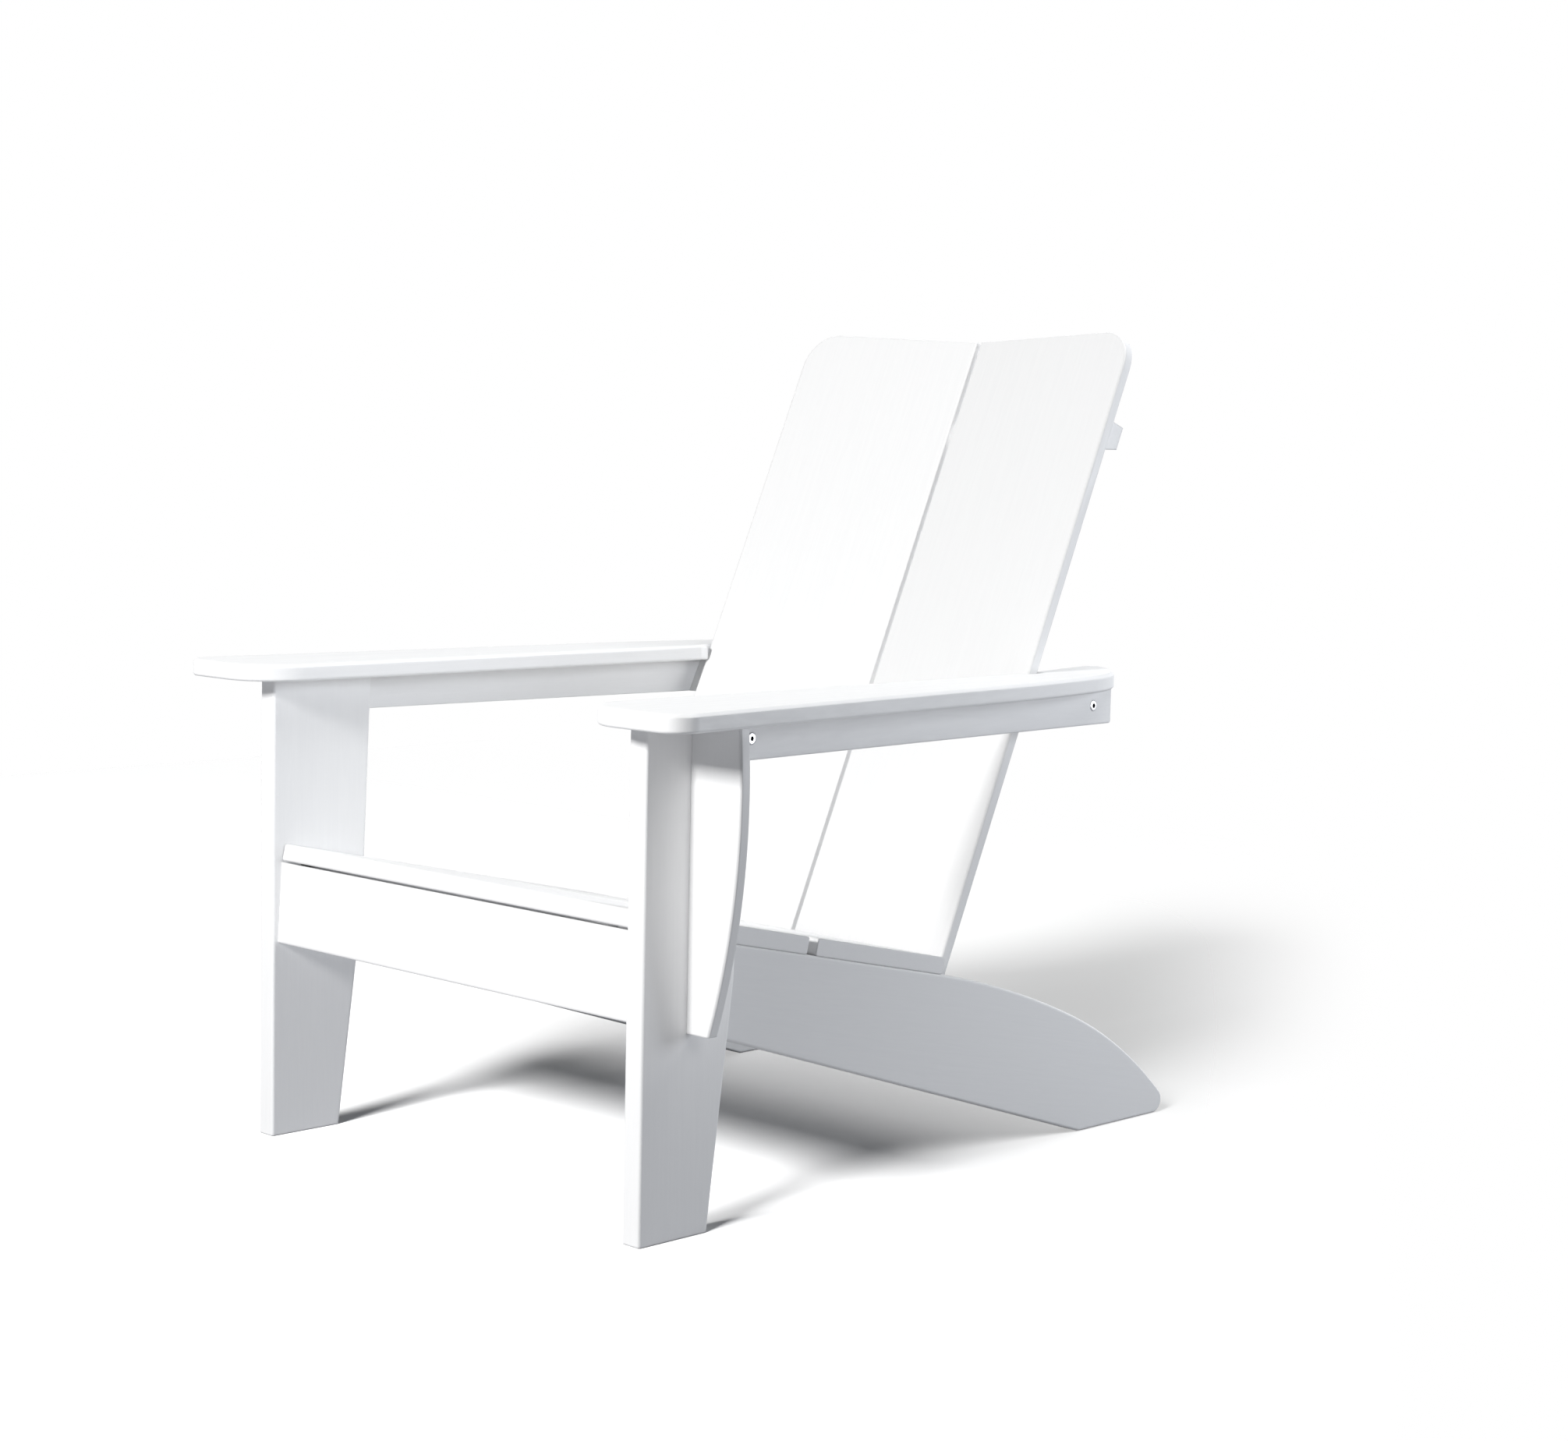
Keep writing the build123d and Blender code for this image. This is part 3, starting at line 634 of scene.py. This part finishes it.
fastener_tree = make_fastener_tree()
pan_head = dict(
    Head_Radius=0.005, Head_Height=0.003, Shoulder=0.0014, Socket_Radius=0.0021,
    Socket_Depth=0.0019, Shank_Radius=0.0025, Point_Length=0.005, Sides=24, Seed=11,
)
flat_head = dict(
    Head_Radius=0.006, Head_Height=0.003, Shoulder=0.0006, Socket_Radius=0.0028,
    Socket_Depth=0.0022, Shank_Radius=0.003, Point_Length=0.002, Sides=24, Seed=5,
)
fit_fasteners("arm_rail_bolts", fastener_tree, bolt_metal, "bolts", **flat_head)
for name in ("leg_screws", "batten_screws", "cross_rail_screws", "cleat_screws", "arm_screws"):
    fit_fasteners(name, fastener_tree, screw_metal, "screws", **pan_head)


# ---- upper back batten ------------------------------------------------------------------
BATTEN_REACH = 0.020       # how much further each half runs, to the boards' outer edges
BATTEN_END_ZONE = 0.030    # the part of a half, from its end, that moves out


def make_full_batten():
    """The upper batten with both halves carried out to the edges of the back boards."""
    shape = merged_copy("upper_back_batten")
    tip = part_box("upper_back_batten")[1].x - BATTEN_END_ZONE
    heads = [line[0] for line in fastener_lines("batten_screws") if line[0].x > 0]
    run = max(heads, key=lambda p: p.x) - min(heads, key=lambda p: p.x)
    run.z = 0.0
    run.normalize()
    for vertex in shape.verts:
        if abs(vertex.co.x) > tip:
            side = math.copysign(1.0, vertex.co.x)
            vertex.co += Vector((side * run.x, run.y, 0.0)) * BATTEN_REACH
    mesh = bpy.data.meshes.new("full upper batten")
    shape.to_mesh(mesh)
    shape.free()
    mesh.materials.append(paint_across)
    piece = bpy.data.objects.new("full_upper_batten", mesh)
    bpy.context.scene.collection.objects.link(piece)
    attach(piece, "root")
    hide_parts("upper_back_batten")
    return piece


full_batten = make_full_batten()


# ---- floor, light, camera ---------------------------------------------------------------
FLOOR_WHITE = (0.92, 0.92, 0.92, 1.0)
FLOOR_CLOUD = (0.90, 0.90, 0.90, 1.0)
FLOOR_BOUNCE = (0.28, 0.285, 0.30, 1.0)    # the floor's colour to all but the camera
FLOOR_HALF = 3.5
FLOOR_DROP = 0.0006                        # keeps the paper just under the feet
# The fade below is painted light: it thins the chair's cast shadow behind it and ends it at the
# side.
FADE_DEPTH = 3.0                           # run of the fade behind the chair's middle
FADE_STOPS = (                             # (share of that run, how solid), both ends first
    (0.02, 1.0), (0.87, 0.0), (0.07, 0.66), (0.11, 0.5), (0.3, 0.46), (0.5, 0.36), (0.65, 0.2)
)
SIDE_FADE_WAY = (0.83, 0.55, 0.0)          # the way in which the paper ends at the side
SIDE_SOLID_TO, SIDE_GONE_BY = 0.36, 0.78   # metres that way


def make_floor():
    """Pale paper that fades into the white background behind and beside the chair; the fade paints
    the chair's cast shadow there lighter and cuts it off at the side.
    """
    half = FLOOR_HALF
    mesh = bpy.data.meshes.new("studio floor")
    corners = [(-half, -half, 0), (half, -half, 0), (half, half, 0), (-half, half, 0)]
    mesh.from_pydata(corners, [], [(0, 1, 2, 3)])
    floor = bpy.data.objects.new("studio_floor", mesh)
    bpy.context.scene.collection.objects.link(floor)
    floor.location.z = -FLOOR_DROP
    material = bpy.data.materials.new("studio floor, pale paper")
    material.use_nodes = True
    tree = material.node_tree
    tree.nodes.clear()
    output = add_node(tree, "ShaderNodeOutputMaterial", (900, 0))
    paper = add_node(tree, "ShaderNodeBsdfDiffuse", (300, 0))
    clear = add_node(tree, "ShaderNodeBsdfTransparent", (300, -200))
    fading = add_node(tree, "ShaderNodeMixShader", (500, -50))
    connect(tree, clear.outputs[0], fading.inputs[1])
    connect(tree, paper.outputs[0], fading.inputs[2])
    bounce = add_node(tree, "ShaderNodeBsdfDiffuse", (300, 200))
    bounce.inputs["Color"].default_value = FLOOR_BOUNCE
    path = add_node(tree, "ShaderNodeLightPath", (300, 500))
    seen = add_node(tree, "ShaderNodeMixShader", (700, 0))
    connect(tree, path.outputs["Is Camera Ray"], seen.inputs[0])
    connect(tree, bounce.outputs[0], seen.inputs[1])
    connect(tree, fading.outputs[0], seen.inputs[2])
    connect(tree, seen.outputs[0], output.inputs["Surface"])
    here = add_node(tree, "ShaderNodeTexCoord", (-700, 0))
    cloud = add_node(tree, "ShaderNodeTexNoise", (-500, 0))
    cloud.inputs["Scale"].default_value = 1.3
    connect(tree, here.outputs["Object"], cloud.inputs["Vector"])
    colour = add_node(tree, "ShaderNodeMix", (-200, 100), data_type="RGBA")
    colour.inputs[6].default_value = FLOOR_WHITE
    colour.inputs[7].default_value = FLOOR_CLOUD
    connect(tree, cloud.outputs[0], colour.inputs[0])
    connect(tree, colour.outputs[2], paper.inputs["Color"])
    apart = add_node(tree, "ShaderNodeSeparateXYZ", (-500, -250))
    connect(tree, here.outputs["Object"], apart.inputs[0])
    # less solid further back: painted lightening of the cast shadow behind the chair
    depth = add_node(tree, "ShaderNodeMapRange", (-300, -250))
    depth.inputs["From Min"].default_value = 0.0
    depth.inputs["From Max"].default_value = FADE_DEPTH
    connect(tree, apart.outputs["Y"], depth.inputs["Value"])
    fade = add_node(tree, "ShaderNodeValToRGB", (-100, -250))
    stops = fade.color_ramp.elements
    for index, (place, level) in enumerate(FADE_STOPS[:2]):
        stops[index].position, stops[index].color = place, (level, level, level, 1.0)
    for place, level in FADE_STOPS[2:]:
        stops.new(place).color = (level, level, level, 1.0)
    connect(tree, depth.outputs["Result"], fade.inputs[0])
    # gone towards the side: painted light that ends the cast shadow there
    sideways = add_node(tree, "ShaderNodeVectorMath", (-500, -500), operation="DOT_PRODUCT")
    sideways.inputs[1].default_value = SIDE_FADE_WAY
    connect(tree, here.outputs["Object"], sideways.inputs[0])
    edge = add_node(tree, "ShaderNodeMapRange", (-300, -500), interpolation_type="SMOOTHSTEP")
    edge.inputs["From Min"].default_value = SIDE_GONE_BY
    edge.inputs["From Max"].default_value = SIDE_SOLID_TO
    connect(tree, sideways.outputs["Value"], edge.inputs["Value"])
    both = add_node(tree, "ShaderNodeMath", (150, -400), operation="MULTIPLY")
    connect(tree, fade.outputs["Color"], both.inputs[0])
    connect(tree, edge.outputs["Result"], both.inputs[1])
    connect(tree, both.outputs[0], fading.inputs[0])
    mesh.materials.append(material)
    floor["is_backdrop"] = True
    return floor


WHITE = (1.0, 1.0, 1.0)
KEY_WHITE = (1.0, 0.997, 0.99)
CEILING_WHITE = (0.98, 0.99, 1.0)
COOL = (0.91, 0.945, 1.0)
SKY_GLOW = (0.86, 0.93, 1.0, 1.0)
SKY_GLOW_STRENGTH = 0.06


def put_lamp(data, place, aim):
    """Stand a lamp at one place, pointed at another, hidden from the camera."""
    lamp = bpy.data.objects.new(data.name, data)
    bpy.context.scene.collection.objects.link(lamp)
    lamp.location = place
    direction = Vector(aim) - Vector(place)
    lamp.rotation_euler = direction.to_track_quat("-Z", "Y").to_euler()
    lamp.visible_camera = False
    lamp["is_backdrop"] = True
    return lamp


def make_panel(name, place, aim, width, height, watts, colour=WHITE):
    """A rectangular lamp that shines from its whole face."""
    data = bpy.data.lights.new(name, "AREA")
    data.shape = "RECTANGLE"
    data.size = width
    data.size_y = height
    data.energy = watts
    data.color = colour
    return put_lamp(data, place, aim)


def make_paper_light(name, place, aim, strength, spread):
    """Even parallel light that keeps the paper white all the way back."""
    data = bpy.data.lights.new(name, "SUN")
    data.energy = strength
    data.angle = math.radians(spread)
    return put_lamp(data, place, aim)


def make_world():
    """White to the camera and in reflections; a faint cool glow as light."""
    world = bpy.data.worlds.new("white studio")
    bpy.context.scene.world = world
    world.use_nodes = True
    tree = world.node_tree
    tree.nodes.clear()
    output = add_node(tree, "ShaderNodeOutputWorld", (600, 0))
    seen = add_node(tree, "ShaderNodeBackground", (0, 150))
    seen.inputs["Color"].default_value = (1.0, 1.0, 1.0, 1.0)
    seen.inputs["Strength"].default_value = 1.0
    glow = add_node(tree, "ShaderNodeBackground", (0, -100))
    glow.inputs["Color"].default_value = SKY_GLOW
    glow.inputs["Strength"].default_value = SKY_GLOW_STRENGTH
    path = add_node(tree, "ShaderNodeLightPath", (0, 400))
    mix = add_node(tree, "ShaderNodeMixShader", (300, 0))
    white = add_node(tree, "ShaderNodeMath", (150, 400), operation="MAXIMUM")
    connect(tree, path.outputs["Is Camera Ray"], white.inputs[0])
    connect(tree, path.outputs["Is Glossy Ray"], white.inputs[1])
    connect(tree, white.outputs[0], mix.inputs[0])
    connect(tree, glow.outputs[0], mix.inputs[1])
    connect(tree, seen.outputs[0], mix.inputs[2])
    connect(tree, mix.outputs[0], output.inputs["Surface"])


def make_camera():
    """Camera off the chair's front corner, on the side of the sitter's left arm."""
    azimuth = math.radians(44.336)
    pitch = math.radians(5.518)
    roll = math.radians(1.211)
    place = Vector((2.3819, -2.34001, 0.8018))
    forward = Vector((
        -math.sin(azimuth) * math.cos(pitch),
        math.cos(azimuth) * math.cos(pitch),
        -math.sin(pitch),
    ))
    level = Vector((math.cos(azimuth), math.sin(azimuth), 0.0))
    upright = level.cross(forward)
    right = level * math.cos(roll) + upright * math.sin(roll)
    up = upright * math.cos(roll) - level * math.sin(roll)
    data = bpy.data.cameras.new("studio camera")
    data.sensor_width = 36.0
    data.sensor_fit = "HORIZONTAL"
    data.lens = 66.55
    camera = bpy.data.objects.new("studio_camera", data)
    bpy.context.scene.collection.objects.link(camera)
    turned = Matrix((right, up, -forward)).transposed().to_4x4()
    camera.matrix_world = Matrix.Translation(place) @ turned
    bpy.context.scene.camera = camera


def light_only(lamp, pieces, shade_themselves=False):
    """Keep a lamp's light to these pieces; at wish, only they cast shadows in it."""
    group = bpy.data.collections.new(lamp.name + " lights these")
    for piece in pieces:
        group.objects.link(piece)
    lamp.light_linking.receiver_collection = group
    if shade_themselves:
        lamp.light_linking.blocker_collection = group


floor = make_floor()
make_world()
make_panel(
    "key window", place=(0.15, -3.7, 2.1), aim=(0, 0, 0.35),
    width=0.7, height=0.6, watts=168.0, colour=KEY_WHITE,
)
on_chair = [
    make_panel(
        "ceiling panel", place=(0.5, 1.35, 3.1), aim=(0, 0, 0.4),
        width=1.6, height=1.6, watts=62.0, colour=CEILING_WHITE,
    ),
    make_panel(
        "rear panel", place=(1.6, 1.3, 0.75), aim=(0.3, 0.2, 0.4),
        width=0.9, height=0.9, watts=18.0, colour=COOL,
    ),
]
far_side = make_panel(
    "far side fill", place=(2.6, -0.2, 1.4), aim=(-0.3, -0.1, 0.5),
    width=1.0, height=1.0, watts=22.0, colour=COOL,
)
leg_fill = make_panel(
    "near leg fill", place=(0.52, -0.385, 0.34), aim=(0.3, -0.385, 0.34),
    width=0.1, height=0.1, watts=0.09,
)
gap_light = make_panel(
    "light into the back's gap", place=(3.0, 0.25, 0.6), aim=(0, 0.25, 0.6),
    width=0.5, height=0.8, watts=34.0,
)
batten_light = make_panel(
    "light on the batten", place=(0.3, -2.0, 1.1), aim=(0, 0.35, 0.8),
    width=0.3, height=0.3, watts=34.0,
)
paper_light = make_paper_light(
    "paper light", place=(0.25, -1.0, 0.62), aim=(0, 0, 0), strength=5.7, spread=16.0
)
for panel in on_chair:
    light_only(panel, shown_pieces())
far_pieces = [nodes[name] for name in ("arm_right", "arm_rail_right", "front_leg_right")]
light_only(far_side, far_pieces, shade_themselves=True)
light_only(leg_fill, [nodes["front_leg_left"]])
light_only(gap_light, [nodes["back_board_right"]], shade_themselves=True)
light_only(batten_light, [full_batten], shade_themselves=True)
light_only(paper_light, [floor])
make_camera()
scene = bpy.context.scene
scene.view_settings.view_transform = "Standard"
scene.view_settings.look = "None"
